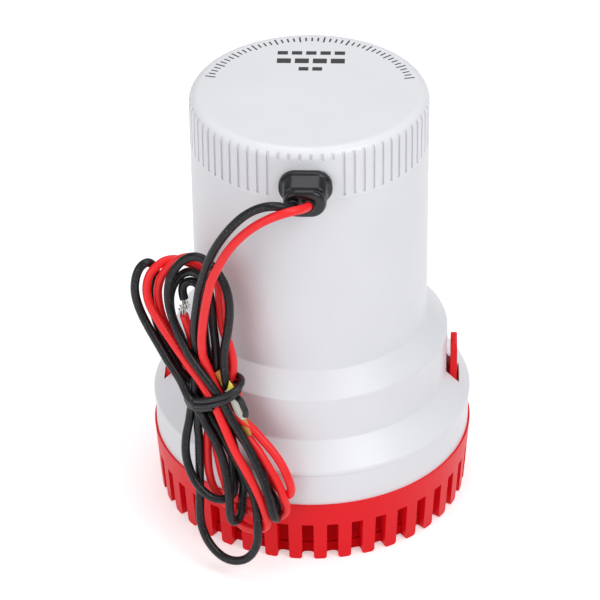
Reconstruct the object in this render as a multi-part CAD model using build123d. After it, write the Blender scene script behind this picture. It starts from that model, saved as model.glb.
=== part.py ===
from build123d import *
import math
import os

# Submersible bilge pump, all sizes in millimetres, +Z up. The origin is the middle of
# the screw pattern in the strainer, on the hull face that the strainer's feet stand on.
# The cable gland points to -Y, the discharge nozzle to +Y, the latch tabs to +X and -X.
# Radii are stepped outwards from the barrel and inwards to the motor and the pump chamber.
# Heights are stacked upwards from the hull face.

os.makedirs("parts", exist_ok=True)

# ---- clearances ----
moving_gap = 0.4
running_gap = 0.05
seat_gap = 0.05
press_gap = 0.02
screw_gap = 0.2
latch_gap = 0.3
cut_over = 1.0            # how far a cutting shape runs past what it cuts

# ---- shells: barrel, collar and skirt in one moulding, with 45 degree ledges between ----
wall = 2.5
barrel_radius = 38.95
collar_step = 7.12
skirt_step = 7.43
skirt_height = 13.1
barrel_height = 65.18
edge_round = 0.8
inner_round = 0.2
rim_bead = 0.5
rim_bead_low = 1.6
rim_bead_slope = 0.6
rim_soft = 0.3
collar_radius = barrel_radius + collar_step
skirt_radius = collar_radius + skirt_step
rim_radius = skirt_radius + rim_bead
barrel_inner = barrel_radius - wall
collar_inner = collar_radius - wall
skirt_inner = skirt_radius - wall

# ---- strainer ----
strainer_height = 23.3
strainer_overhang = 0.7
strainer_draft = 1.6
strainer_wall = 4.0
foot_width = 6.1
foot_height = 3.0
floor_thickness = 2.5
slot_count = 40
slot_width = 3.9
slot_top = 14.8
slot_past_wall = 0.6
foot_chamfer = 0.7
hull_screw_count = 4
hull_screw_pcd = 76.0
hull_screw_hole = 2.25
hull_screw_pad = 5.5
spigot_height = 3.0
spigot_thickness = 1.4
spigot_step = 3.3
spigot_opening_side = 3.0
strainer_top_radius = skirt_radius + strainer_overhang
strainer_bottom_radius = strainer_top_radius - strainer_draft
strainer_wall_inner = strainer_top_radius - strainer_wall
foot_inner_radius = strainer_bottom_radius - foot_width
floor_top = foot_height + floor_thickness
spigot_outer = skirt_inner - moving_gap
spigot_inner = spigot_outer - spigot_thickness
spigot_top = strainer_height + spigot_height
rim_height = strainer_height + skirt_height

# ---- pump chamber and discharge nozzle ----
nozzle_radius = 14.5
nozzle_root_step = 0.5
nozzle_wall = 2.5
nozzle_reach = 34.0
nozzle_land = 30.0
nozzle_groove_count = 3
nozzle_groove_first = 6.0
nozzle_groove_pitch = 8.0
nozzle_groove_width = 1.6
nozzle_groove_depth = 0.8
nozzle_overlap = 2.0
nozzle_side_inset = 3.0
chamber_stand = 3.2
chamber_wall = 2.5
ceiling_thickness = 3.0
flange_thickness = 2.5
seat_ring_height = 2.9
seat_ring_step = 2.0
seat_room = 2.7
screw_post_radius = 3.4
screw_post_inset = 0.47
screw_post_overlap = 0.4
chamber_screw_angles = (-10.0, 110.0, 230.0)
chamber_screw_radius = 1.9
chamber_screw_head = 3.4
chamber_screw_head_height = 2.4
chamber_screw_depth = 5.6
screw_end_room = 0.4
cross_length = 3.2
cross_width = 0.8
cross_depth = 1.0
chamber_floor = strainer_height + chamber_stand
chamber_ceiling = chamber_floor + 2 * (nozzle_radius - nozzle_overlap)
ceiling_top = chamber_ceiling + ceiling_thickness
seat_top = ceiling_top + seat_ring_height
nozzle_height = (chamber_floor + chamber_ceiling) / 2
nozzle_bore = nozzle_radius - nozzle_wall
nozzle_end = rim_radius + nozzle_reach
seat_radius = collar_inner - moving_gap
chamber_screw_circle = seat_radius - screw_post_radius - screw_post_inset
chamber_outer = chamber_screw_circle - screw_post_radius - screw_post_overlap
chamber_radius = chamber_outer - chamber_wall
nozzle_offset = chamber_outer - nozzle_radius - nozzle_side_inset

# ---- heights of the collar and the barrel ----
collar_bottom = rim_height + rim_radius - collar_radius
collar_top = seat_top + seat_room
barrel_top = collar_top + collar_step + barrel_height

# ---- latch tabs ----
tab_thickness = 2.2
tab_stand_in = 4.1
tab_width = 10.0
tab_top_below = 5.7
tab_nose = 0.5
tab_nose_below = 6.2
tab_nose_height = 3.6
tab_soft_outer = 0.6
tab_soft_inner = 0.5
tab_corner = 1.4
tab_pocket = 0.9
tab_slot_clearance = 0.4
catch_width_over = 2.0
catch_height = 3.0
catch_drop = 0.6
catch_in_skirt = 0.5
tab_outer_x = skirt_radius - tab_stand_in
tab_inner_x = tab_outer_x - tab_thickness
tab_root = floor_top + latch_gap
tab_top = collar_top - tab_top_below
tab_nose_low = rim_height - tab_nose_below

# ---- suction plate ----
suction_plate_thickness = 3.0
suction_plate_inset = 0.3
eye_radius = 15.0
eye_lip = 2.5
eye_lip_depth = 3.5
plate_low = chamber_floor - suction_plate_thickness
eye_low = plate_low - eye_lip_depth
chamber_screw_low = plate_low - chamber_screw_head_height

# ---- cap ----
cap_overhang = 0.05
cap_height = 18.3
cap_edge = 3.4
cap_wall = 2.6
cap_inner_bevel = 2.0
cap_skirt_depth = 8.0
cap_skirt_wall = 3.2
cap_skirt_fit = 0.15
rib_count = 70
rib_groove_width = 1.05
rib_groove_depth = 0.7
rib_above_joint = 1.0
rib_boss_half_angle = 13.0
rib_short_depth = 3.7
o_ring_section = 0.95
cap_radius = barrel_radius + cap_overhang
cap_top = barrel_top + cap_height
cap_skirt_outer = barrel_inner - cap_skirt_fit
cap_skirt_inner = cap_skirt_outer - cap_skirt_wall
cap_skirt_low = barrel_top - cap_skirt_depth
cap_o_ring_height = barrel_top - cap_skirt_depth / 2
chamber_o_ring_drop = 0.3
chamber_o_ring_height = ceiling_top + seat_ring_height / 2 - chamber_o_ring_drop

# ---- cable gland ----
gland_drop = 12.5
flange_width = 16.5
flange_tall = 11.6
flange_stand = 5.6
flange_corner = 3.0
flange_bevel = 1.1
neck_width = 13.5
neck_tall = 9.8
neck_length = 6.4
neck_corner = 2.8
neck_bevel = 0.7
gland_hole_width = 10.0
gland_hole_tall = 7.0
gland_fit = 0.1
gland_through_corner = 0.4
gland_button_over = 3.0
gland_button_thickness = 2.7
gland_button_room = 1.3
gland_button_corner = 1.0
gland_height = cap_top - gland_drop
flange_front = -cap_radius - flange_stand
gland_front = flange_front - neck_length

# ---- impeller and its screw ----
impeller_gap = 4.5
impeller_above_floor = 1.7
impeller_plate_drop = 6.0
impeller_plate_thickness = 2.4
impeller_hub_radius = 7.0
impeller_hub_drop = 1.5
impeller_hub_cap = 1.5
blade_count = 6
blade_thickness = 2.0
blade_curve_radius = 22.0
blade_rim_inset = 0.5
blade_sink = 0.5
impeller_screw_radius = 1.5
impeller_screw_depth = 8.0
impeller_screw_head = 3.0
impeller_screw_head_height = 2.4
impeller_screw_slot_width = 0.8
impeller_radius = chamber_radius - impeller_gap
impeller_low = chamber_floor + impeller_above_floor
impeller_plate_low = chamber_ceiling - impeller_plate_drop
impeller_plate_top = impeller_plate_low + impeller_plate_thickness
impeller_hub_top = chamber_ceiling - impeller_hub_drop

# ---- motor ----
shaft_radius = 3.0
shaft_above_floor = 9.5
shaft_above_bell = 4.0
seal_radius = 8.0
seal_height = 2.4
seal_spacing = 0.2
seal_count = 2
seal_recess = 0.9
seal_boss_radius = 11.0
seal_boss_height = 5.0
retainer_thickness = 0.8
retainer_inset = 0.5
motor_stand = 7.0
can_room = 5.45
can_wall = 1.5
can_height = 56.5
can_rib_thickness = 2.4
can_rib_low = 8.0
can_rib_top = 4.0
can_rib_sink = 0.8
can_rib_angles = (45, 135, 225, 315)
magnet_thickness = 4.2
magnet_above = 8.5
magnet_height = 34.0
magnet_angle = 130.0
magnet_fit = 0.1
air_gap = 0.7
core_inset = 2.0
pole_count = 7
winding_pocket = 4.0
winding_pocket_inset = 7.1
winding_pocket_mouth = 2.0
winding_fit = 0.3
end_turn_height = 6.0
end_turn_inset = 2.5
end_turn_bore = 6.5
commutator_radius = 9.0
commutator_above = 1.5
commutator_height = 7.0
commutator_slot_depth = 0.8
commutator_slot_width = 0.5
commutator_slot_turn = 12.0
bearing_radius = 6.0
bearing_length = 5.0
bearing_proud = 0.8
end_bell_thickness = 3.0
end_bell_lip = 4.0
end_bell_lip_wall = 1.9
upper_bearing_drop = 1.0
brush_width = 5.0
brush_height = 4.6
brush_beyond_middle = 0.65
brush_fit = 0.1
brush_guide_wall = 1.6
brush_guide_end_wall = 2.0
brush_guide_inset = 5.0
spring_outer = 2.1
spring_inner = 1.5
terminal_length = 6.0
terminal_width = 4.0
terminal_thickness = 0.8
terminal_height = 5.0
motor_screw_circle = 18.0
motor_screw_angles = (0, 180)
motor_screw_radius = 1.5
motor_screw_head = 2.8
motor_screw_head_height = 1.3
motor_screw_post = 2.2
motor_screw_fit = 0.1
motor_screw_end = 1.0
can_radius = barrel_inner - can_room
can_inner = can_radius - can_wall
can_low = ceiling_top + motor_stand
can_high = can_low + can_height
bell_high = can_high + end_bell_thickness
magnet_low = can_low + magnet_above
magnet_high = magnet_low + magnet_height
core_radius = can_inner - magnet_thickness - air_gap
core_low = magnet_low + core_inset
core_high = magnet_high - core_inset
winding_pocket_circle = core_radius - winding_pocket_inset
commutator_low = core_high + end_turn_height + commutator_above
commutator_high = commutator_low + commutator_height
shaft_low = chamber_floor + shaft_above_floor
shaft_high = bell_high + shaft_above_bell
hub_low = shaft_low - impeller_hub_cap
brush_low = (commutator_low + commutator_high - brush_height) / 2
brush_high = brush_low + brush_height
brush_start = commutator_radius + latch_gap
brush_guide_end = can_radius - brush_guide_inset
brush_end = (brush_start + brush_guide_end) / 2 + brush_beyond_middle
terminal_outer = brush_guide_end - brush_guide_inset
terminal_inner = terminal_outer - terminal_length

# ---- leads, hank, tie and tag ----
wire_diameter = 2.9
lead_black_route = [
    (-3.4, -51.0, 137.8), (-3.4, -55.2, 137.8), (-8.8, -57.8, 138.4), (-14.6, -57.4, 136.4),
    (-20.8, -55.0, 130.2), (-26.6, -52.2, 119.8), (-31.4, -49.8, 106.0), (-34.2, -48.6, 92.0),
    (-34.9, -48.4, 80.0), (-34.3, -48.7, 71.0),
]
lead_red_route = [
    (1.6, -51.0, 137.0), (1.6, -55.8, 137.0), (-3.8, -59.0, 136.6), (-9.4, -59.2, 134.0),
    (-15.4, -57.8, 128.6), (-21.2, -55.4, 119.6), (-26.2, -53.0, 108.4), (-29.8, -51.4, 96.2),
    (-31.4, -50.6, 84.4), (-31.1, -50.5, 74.5),
]
inner_lead_share = 0.8
inner_lead_side = 2.4
inner_lead_run = 12.0
inner_lead_bend = 3.0
inner_lead_drop = 4.0
inner_lead_above_bell = 9.0
inner_lead_end = 2.0
hank_middle = (-31.0, -48.0, 60.0)
hank_turned_back = 0.30
hank_lean = 0.22
hank_thickness = 10.0
hank_outline = [
    (7.5, 1.0), (9.5, 16.0), (8.5, 38.0), (1.5, 48.0), (-9.0, 52.0), (-21.0, 50.5),
    (-30.0, 45.0), (-31.5, 35.0), (-23.0, 19.0), (-8.5, 1.0), (-10.0, -14.0), (-8.0, -28.0),
    (-5.5, -42.0), (2.0, -56.5), (14.0, -58.0), (21.0, -49.0), (30.0, -34.0), (28.0, -20.0),
    (14.0, -5.0),
]
hank_corner = 3.0
tie_width = 18.6
tie_depth = 12.6
tie_band = 5.2
tie_wall = 1.4
tie_corner = 4.0
tie_middle = (-0.4, 0.6)
tie_tilt = 12.0
tag_length = 22.0
tag_width = 3.6
tag_thickness = 0.5
tag_middle = (8.0, 0.5)
tag_tilt = -58.0
bare_end_length = 8.0
bare_end_radius = 1.0
bare_end_places = [(-10.0, 31.0, 3.2, 8.0), (-5.0, 28.0, -3.0, -6.0)]

upright = (Align.CENTER, Align.CENTER, Align.MIN)


def disc(radius, low, high):
    return Pos(0, 0, low) * Cylinder(radius, high - low, align=upright)


def ring(outer, inner, low, high):
    return disc(outer, low, high) - disc(inner, low - cut_over, high + cut_over)


def block(low, high):
    size = [high[i] - low[i] for i in range(3)]
    middle = [(high[i] + low[i]) / 2 for i in range(3)]
    return Pos(*middle) * Box(*size)


def turned(points, radii=None):
    """A solid of revolution about Z from its half section, given as (radius, height)."""
    if radii:
        outline = FilletPolyline(*points, radius=radii, close=True)
    else:
        outline = Polyline(*points, close=True)
    return revolve(Plane.XZ * make_face(outline), Axis.Z)


def around(shape, angles):
    return [Rot(0, 0, angle) * shape for angle in angles]


def spread(count, first=0.0):
    return [first + i * 360 / count for i in range(count)]


def on_both_sides(shape):
    return Compound(children=[shape, Rot(0, 0, 180) * shape])


def to_side(shape, side):
    """A shape made on the +X side, or turned round to -X."""
    return shape if side > 0 else Rot(0, 0, 180) * shape


def pin_at(circle, angle, radius, low, high):
    return Rot(0, 0, angle) * Pos(circle, 0, 0) * disc(radius, low, high)


def pins_at(circle, angles, radius, low, high):
    return [pin_at(circle, angle, radius, low, high) for angle in angles]


def cone_inside(outer_radius, outer_height, radius):
    """Height of the inner face of a 45 degree ledge at a radius, a wall inside the ledge."""
    return outer_radius + outer_height - wall * math.sqrt(2) - radius


# ---- strainer and its latch tabs ----
def wall_slot(depth):
    """A slot of the strainer at -Y, open at the hull face, cut from outside to a depth."""
    half = slot_width / 2
    flared = half + foot_chamfer
    section = Polyline(
        (-flared, -cut_over), (-flared, 0), (-half, foot_chamfer), (-half, slot_top),
        (half, slot_top), (half, foot_chamfer), (flared, 0), (flared, -cut_over), close=True,
    )
    start = strainer_top_radius + cut_over
    outward = Plane(origin=(0, -start, 0), x_dir=(1, 0, 0), z_dir=(0, -1, 0))
    return extrude(outward * make_face(section), -(cut_over + depth))


def strainer():
    body = turned([
        (0, foot_height),
        (foot_inner_radius, foot_height),
        (foot_inner_radius, 0),
        (strainer_bottom_radius, 0),
        (strainer_top_radius, strainer_height),
        (spigot_outer, strainer_height),
        (spigot_outer, spigot_top),
        (spigot_inner, spigot_top),
        (spigot_inner, strainer_height - spigot_step),
        (strainer_wall_inner, strainer_height - 2 * spigot_step),
        (strainer_wall_inner, floor_top),
        (0, floor_top),
    ])
    high_slot = wall_slot(strainer_wall + slot_past_wall)
    foot_slot = wall_slot(strainer_top_radius - foot_inner_radius + cut_over)
    below_floor = disc(strainer_top_radius + 2 * cut_over, -2 * cut_over, foot_height)
    body = body - around(high_slot, spread(slot_count))
    body = body - around(foot_slot & below_floor, spread(slot_count))
    screw_circle, screw_angles = hull_screw_pcd / 2, spread(hull_screw_count, 45)
    body = body + pins_at(screw_circle, screw_angles, hull_screw_pad, 0, floor_top + cut_over)
    body = body - pins_at(screw_circle, screw_angles, hull_screw_hole, -cut_over, floor_top + 2 * cut_over)
    # the spigot is open where the latch tabs stand, and stops short of the nozzle
    half_opening = tab_width / 2 + spigot_opening_side
    tab_gap = block((spigot_inner - strainer_wall, -half_opening, strainer_height - 2 * spigot_step),
                    (spigot_outer + seat_gap, half_opening, spigot_top + cut_over))
    nozzle_half = nozzle_radius + moving_gap
    nozzle_gap = block((nozzle_offset - nozzle_half, 0, strainer_height),
                       (nozzle_offset + nozzle_half, strainer_top_radius, spigot_top + cut_over))
    return body - on_both_sides(tab_gap) - nozzle_gap


def latch_tab(side):
    nose_middle = (tab_outer_x + tab_nose, tab_nose_low + tab_nose)
    section = Polyline(
        (tab_inner_x, tab_root), (tab_outer_x, tab_root), (tab_outer_x, tab_nose_low), nose_middle,
        (tab_outer_x, tab_nose_low + tab_nose_height), (tab_outer_x, tab_top - tab_soft_outer),
        (tab_outer_x - tab_soft_outer, tab_top), (tab_inner_x + tab_soft_inner, tab_top),
        (tab_inner_x, tab_top - tab_soft_inner), close=True,
    )
    tab = extrude(Plane.XZ * make_face(section), tab_width / 2, both=True)
    half = tab_width / 2
    outline = Polyline(
        (-half, tab_root - cut_over), (half, tab_root - cut_over), (half, tab_top - tab_corner),
        (half - tab_corner, tab_top), (-half + tab_corner, tab_top), (-half, tab_top - tab_corner),
        close=True,
    )
    return to_side(tab & extrude(Plane.YZ * make_face(outline), skirt_radius), side)


# ---- motor housing ----
def nozzle_at(radius, start, end):
    return Pos(nozzle_offset, start, nozzle_height) * Rot(-90, 0, 0) * Cylinder(
        radius, end - start, align=upright)


def motor_housing():
    ledge_low = rim_radius + rim_height
    ledge_high = collar_radius + collar_top
    points = [
        (skirt_radius, strainer_height),
        (skirt_radius, rim_height - rim_bead_low),
        (rim_radius, rim_height - rim_bead_low + rim_bead_slope),
        (rim_radius, rim_height - rim_soft),
        (rim_radius - rim_soft, rim_height + rim_soft),
        (collar_radius, ledge_low - collar_radius),
        (collar_radius, collar_top),
        (barrel_radius, ledge_high - barrel_radius),
        (barrel_radius, barrel_top),
        (barrel_inner, barrel_top),
        (barrel_inner, cone_inside(collar_radius, collar_top, barrel_inner)),
        (collar_inner, cone_inside(collar_radius, collar_top, collar_inner)),
        (collar_inner, cone_inside(rim_radius, rim_height, collar_inner)),
        (skirt_inner, cone_inside(rim_radius, rim_height, skirt_inner)),
        (skirt_inner, strainer_height),
    ]
    rounds = [0, 0, 0, 0, 0, edge_round, edge_round, edge_round, inner_round, inner_round, 0, 0, 0, 0, 0]
    body = turned(points, rounds)
    # bosses for the long chamber screws, kept inside the outer faces
    boss_top = cone_inside(collar_radius, collar_top, barrel_inner) + cut_over
    within = turned([
        (0, 0), (collar_radius - cut_over, 0), (collar_radius - cut_over, collar_top),
        (barrel_radius - cut_over, ledge_high - barrel_radius), (barrel_radius - cut_over, barrel_top),
        (0, barrel_top)])
    for boss in pins_at(chamber_screw_circle, chamber_screw_angles, screw_post_radius, seat_top, boss_top):
        body = body + (boss & within)
    body = body - pins_at(chamber_screw_circle, chamber_screw_angles, chamber_screw_radius + seat_gap,
                          seat_top - cut_over, seat_top + chamber_screw_depth)
    # ribs that centre the motor can
    rib = block((can_radius + moving_gap, -can_rib_thickness / 2, can_low + can_rib_low),
                (barrel_inner + can_rib_sink, can_rib_thickness / 2, can_high - can_rib_top))
    body = body + around(rib, can_rib_angles)
    # slot under the nozzle, open at the bottom, so the chamber slides in from below
    half = nozzle_radius + latch_gap
    slot_low = strainer_height - nozzle_height - cut_over
    arch = Polyline((half, 0), (half, slot_low), (-half, slot_low), (-half, 0))
    arch = make_face(arch + ThreePointArc((-half, 0), (0, half), (half, 0)))
    outside = Plane(origin=(nozzle_offset, skirt_radius + wall, nozzle_height), x_dir=(1, 0, 0), z_dir=(0, -1, 0))
    body = body - extrude(outside * arch, skirt_radius + wall - chamber_radius / 2)
    for side in (-1, 1):
        body = body + catch_lip(side)
        body = body - tab_opening(side)
    return body


def catch_lip(side):
    """The lip inside the skirt that a latch tab's nose stands over."""
    half = tab_width / 2 + catch_width_over
    top = tab_nose_low - catch_drop
    lip = block((tab_outer_x + tab_nose + latch_gap, -half, top - catch_height), (skirt_radius, half, top))
    return to_side(lip & disc(skirt_radius - catch_in_skirt, 0, rim_height), side)


def tab_opening(side):
    """The slot in the lower ledge that a latch tab stands in, and the flat behind it."""
    half = tab_width / 2 + tab_slot_clearance
    flat_x = collar_radius - tab_pocket
    slot = block((collar_inner + cut_over, -half, tab_nose_low),
                 (tab_outer_x + tab_nose + latch_gap, half, collar_bottom + cut_over))
    slot = slot - disc(flat_x, 0, collar_top)
    flat = block((flat_x, -half, rim_height), (tab_outer_x, half, tab_top + cut_over))
    return to_side(slot + flat, side)


# ---- cap, its seal and the cable gland ----
def top_cap():
    body = turned([
        (0, cap_skirt_low), (cap_skirt_outer, cap_skirt_low), (cap_skirt_outer, barrel_top),
        (cap_radius, barrel_top), (cap_radius, cap_top), (0, cap_top)])
    rim = [e for e in body.edges() if e.geom_type == GeomType.CIRCLE
           and abs(e.radius - cap_radius) < seat_gap and abs(e.center().Z - cap_top) < seat_gap]
    body = fillet(rim, cap_edge)
    hollow_top = cap_top - cap_wall
    body = body - turned([
        (0, cap_skirt_low - cut_over), (cap_skirt_inner, cap_skirt_low - cut_over),
        (cap_skirt_inner, hollow_top - cap_inner_bevel), (cap_skirt_inner - cap_inner_bevel, hollow_top),
        (0, hollow_top)])
    for angle in spread(rib_count, 180 / rib_count):
        near_gland = min(angle, 360 - angle) < rib_boss_half_angle
        low = cap_top - rib_short_depth if near_gland else barrel_top + rib_above_joint
        groove = block((cap_radius - rib_groove_depth, -rib_groove_width / 2, low),
                       (cap_radius + cut_over, rib_groove_width / 2, cap_top + cut_over))
        body = body - Rot(0, 0, angle - 90) * groove
    hole = block((-gland_hole_width / 2, -cap_radius - cut_over, gland_height - gland_hole_tall / 2),
                 (gland_hole_width / 2, -cap_skirt_inner / 2, gland_height + gland_hole_tall / 2))
    return body - o_ring_groove(barrel_inner, cap_o_ring_height) - hole


def o_ring(bore, height):
    """A round ring that seals against the bore of a given radius."""
    return Pos(0, 0, height) * Torus(bore - seat_gap - o_ring_section, o_ring_section)


def o_ring_groove(bore, height):
    half = o_ring_section + seat_gap
    return ring(bore + cut_over, bore - 2 * half, height - half, height + half)


def gland_slab(width, tall, start, end, corner):
    low, high = gland_height - tall / 2, gland_height + tall / 2
    shape = block((-width / 2, start, low), (width / 2, end, high))
    return chamfer(shape.edges().filter_by(Axis.Y), corner)


def cable_gland():
    """Moulded rubber gland: a bevelled flange outside the cap, a neck, and a button inside."""
    flange = gland_slab(flange_width, flange_tall, flange_front, -cap_skirt_outer, flange_corner)
    flange = chamfer(flange.faces().sort_by(Axis.Y)[0].edges(), flange_bevel)
    flange = flange - disc(cap_radius + seat_gap, 0, cap_top)
    neck = gland_slab(neck_width, neck_tall, gland_front, flange_front + cut_over, neck_corner)
    neck = chamfer(neck.faces().sort_by(Axis.Y)[0].edges(), neck_bevel)
    inside = -cap_skirt_inner + gland_button_room
    through = gland_slab(gland_hole_width - gland_fit, gland_hole_tall - gland_fit,
                         -cap_radius - cut_over, inside + seat_gap, gland_through_corner)
    button = gland_slab(gland_hole_width + gland_button_over, gland_hole_tall + gland_button_over,
                        inside, inside + gland_button_thickness, gland_button_corner)
    button = button & disc(cap_skirt_inner - 5 * seat_gap, 0, cap_top)
    return flange + neck + through + button


# ---- pump chamber, suction plate and impeller ----
def pump_chamber():
    posts = pins_at(chamber_screw_circle, chamber_screw_angles, screw_post_radius, chamber_floor, ceiling_top)
    motor_posts = pins_at(motor_screw_circle, motor_screw_angles, motor_screw_radius + motor_screw_post,
                          ceiling_top - cut_over, can_low)
    body = disc(chamber_outer, chamber_floor, ceiling_top)
    body = body + disc(seat_radius, chamber_floor, chamber_floor + flange_thickness)
    body = body + disc(seat_radius, chamber_ceiling, ceiling_top)
    body = body + ring(seat_radius, chamber_outer + seat_ring_step, ceiling_top - cut_over, seat_top)
    body = body + posts + motor_posts
    body = body + disc(seal_boss_radius, ceiling_top - cut_over, ceiling_top + seal_boss_height)
    # the nozzle's root is a little thinner than the land that the hose grips
    land_start = nozzle_end - nozzle_land
    nozzle = nozzle_at(nozzle_radius - nozzle_root_step, 0, land_start + cut_over)
    nozzle = nozzle + nozzle_at(nozzle_radius, land_start, nozzle_end)
    nozzle = nozzle - block((-rim_radius, -cut_over, 0), (rim_radius, seat_radius + seat_gap, chamber_floor))
    body = body + nozzle
    body = body - disc(chamber_radius, chamber_floor - nozzle_radius, chamber_ceiling)
    body = body - nozzle_at(nozzle_bore, 0, nozzle_end + cut_over)
    for i in range(nozzle_groove_count):
        start = land_start + nozzle_groove_first + i * nozzle_groove_pitch
        end = start + nozzle_groove_width
        groove = nozzle_at(nozzle_radius + cut_over, start, end)
        body = body - (groove - nozzle_at(nozzle_radius - nozzle_groove_depth, start - cut_over, end + cut_over))
    body = body - pins_at(chamber_screw_circle, chamber_screw_angles, chamber_screw_radius + screw_gap,
                          chamber_floor - cut_over, seat_top + cut_over)
    body = body - disc(shaft_radius + moving_gap, chamber_ceiling - cut_over, can_low)
    body = body - disc(seal_radius, ceiling_top - cut_over, can_low)
    body = body - pins_at(motor_screw_circle, motor_screw_angles, motor_screw_radius + motor_screw_fit,
                          chamber_ceiling - cut_over, can_low + cut_over)
    body = body - pins_at(motor_screw_circle, motor_screw_angles, motor_screw_head + motor_screw_fit,
                          chamber_ceiling - cut_over, chamber_ceiling + motor_screw_head_height + motor_screw_fit)
    return body - o_ring_groove(collar_inner, chamber_o_ring_height)


def suction_plate():
    body = disc(seat_radius - suction_plate_inset, plate_low, chamber_floor)
    body = body + disc(eye_radius + eye_lip, eye_low, plate_low + cut_over)
    body = body - disc(eye_radius, eye_low - cut_over, chamber_floor + cut_over)
    return body - pins_at(chamber_screw_circle, chamber_screw_angles, chamber_screw_radius + screw_gap,
                          plate_low - cut_over, chamber_floor + cut_over)


def chamber_screws():
    top = seat_top + chamber_screw_depth - screw_end_room
    screw = disc(chamber_screw_radius, plate_low - cut_over, top)
    screw = screw + disc(chamber_screw_head, chamber_screw_low, plate_low)
    cross = Box(cross_length, cross_width, 2 * cross_depth) + Box(cross_width, cross_length, 2 * cross_depth)
    screw = Pos(chamber_screw_circle, 0, 0) * (screw - Pos(0, 0, chamber_screw_low) * cross)
    return Compound(children=around(screw, chamber_screw_angles))


def impeller():
    body = disc(impeller_radius, impeller_plate_low, impeller_plate_top)
    body = body + disc(impeller_hub_radius, hub_low, impeller_hub_top)
    # each blade is half of a round wall that starts at the shaft and curves back to the rim
    blade = Pos(blade_curve_radius, 0, 0) * ring(
        blade_curve_radius + blade_thickness / 2, blade_curve_radius - blade_thickness / 2,
        impeller_low, impeller_plate_top - blade_sink)
    blade = blade & disc(impeller_radius - blade_rim_inset, 0, impeller_plate_top)
    blade = blade & block((-impeller_radius, 0, 0), (impeller_radius, impeller_radius, impeller_plate_top))
    taper = turned([
        (0, impeller_low - cut_over), (eye_radius - eye_lip / 2, impeller_low - cut_over),
        (impeller_hub_radius - cut_over, hub_low + cut_over), (0, hub_low + cut_over)])
    blade = blade - taper - disc(impeller_hub_radius - blade_thickness, 0, impeller_plate_top)
    for turned_blade in around(blade, spread(blade_count)):
        body = body + turned_blade
    body = body - disc(shaft_radius + press_gap, shaft_low, impeller_hub_top + cut_over)
    return body - disc(impeller_screw_radius + motor_screw_fit, 0, shaft_low + cut_over)


def impeller_screw():
    head_low = hub_low - impeller_screw_head_height
    screw = disc(impeller_screw_radius, head_low, shaft_low + impeller_screw_depth - screw_end_room)
    screw = screw + disc(impeller_screw_head, head_low, hub_low)
    slot_half = impeller_screw_slot_width / 2
    reach = impeller_screw_head + cut_over
    return screw - block((-reach, -slot_half, head_low - cut_over),
                         (reach, slot_half, head_low + impeller_screw_slot_width))


# ---- motor ----
def motor_shaft():
    body = disc(shaft_radius, shaft_low, shaft_high)
    return body - disc(impeller_screw_radius + press_gap, shaft_low - cut_over, shaft_low + impeller_screw_depth)


def shaft_seals():
    low = ceiling_top - seal_recess
    pitch = seal_height + seal_spacing
    seal = ring(seal_radius - seat_gap, shaft_radius + running_gap, low, low + seal_height)
    return Compound(children=[Pos(0, 0, i * pitch) * seal for i in range(seal_count)])


def seal_retainer():
    low = ceiling_top + seal_boss_height
    return ring(seal_boss_radius - retainer_inset, shaft_radius + moving_gap, low, low + retainer_thickness)


def motor_can():
    body = disc(can_radius, can_low, can_high)
    body = body - disc(can_inner, can_low + can_wall, can_high + cut_over)
    body = body - disc(bearing_radius + press_gap, can_low - cut_over, can_low + bearing_length)
    return body - pins_at(motor_screw_circle, motor_screw_angles, motor_screw_radius + press_gap,
                          can_low - cut_over, can_low + 2 * can_wall)


def motor_screws():
    top = can_low + can_wall + motor_screw_end
    screw = disc(motor_screw_radius, chamber_ceiling, top)
    screw = screw + disc(motor_screw_head, chamber_ceiling, chamber_ceiling + motor_screw_head_height)
    return on_both_sides(Pos(motor_screw_circle, 0, 0) * screw)


def field_magnets():
    arc = ring(can_inner - magnet_fit, can_inner - magnet_thickness, magnet_low, magnet_high)
    half = math.radians(magnet_angle / 2)
    reach = 2 * can_radius
    corners = [(0, 0), (reach * math.cos(half), -reach * math.sin(half)), (reach, 0),
               (reach * math.cos(half), reach * math.sin(half))]
    wedge = Pos(0, 0, magnet_low) * extrude(make_face(Polyline(*corners, close=True)), magnet_height)
    return on_both_sides(arc & wedge)


def armature_core():
    body = ring(core_radius, shaft_radius + press_gap, core_low, core_high)
    pocket = Pos(winding_pocket_circle, 0, 0) * disc(winding_pocket, core_low - cut_over, core_high + cut_over)
    mouth = block((winding_pocket_circle, -winding_pocket_mouth / 2, core_low - cut_over),
                  (core_radius + cut_over, winding_pocket_mouth / 2, core_high + cut_over))
    return body - around(pocket + mouth, spread(pole_count))


def armature_windings():
    bar = Pos(winding_pocket_circle, 0, 0) * disc(
        winding_pocket - winding_fit, core_low - cut_over, core_high + cut_over)
    ends = ring(core_radius - end_turn_inset, end_turn_bore, core_low - end_turn_height, core_low)
    ends = ends + ring(core_radius - end_turn_inset, end_turn_bore, core_high, core_high + end_turn_height)
    return ends + around(bar, spread(pole_count))


def commutator():
    body = ring(commutator_radius, shaft_radius + press_gap, commutator_low, commutator_high)
    half = commutator_slot_width / 2
    slot = block((commutator_radius - commutator_slot_depth, -half, commutator_low - cut_over),
                 (commutator_radius + cut_over, half, commutator_high + cut_over))
    return body - around(slot, spread(pole_count, commutator_slot_turn))


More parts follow.
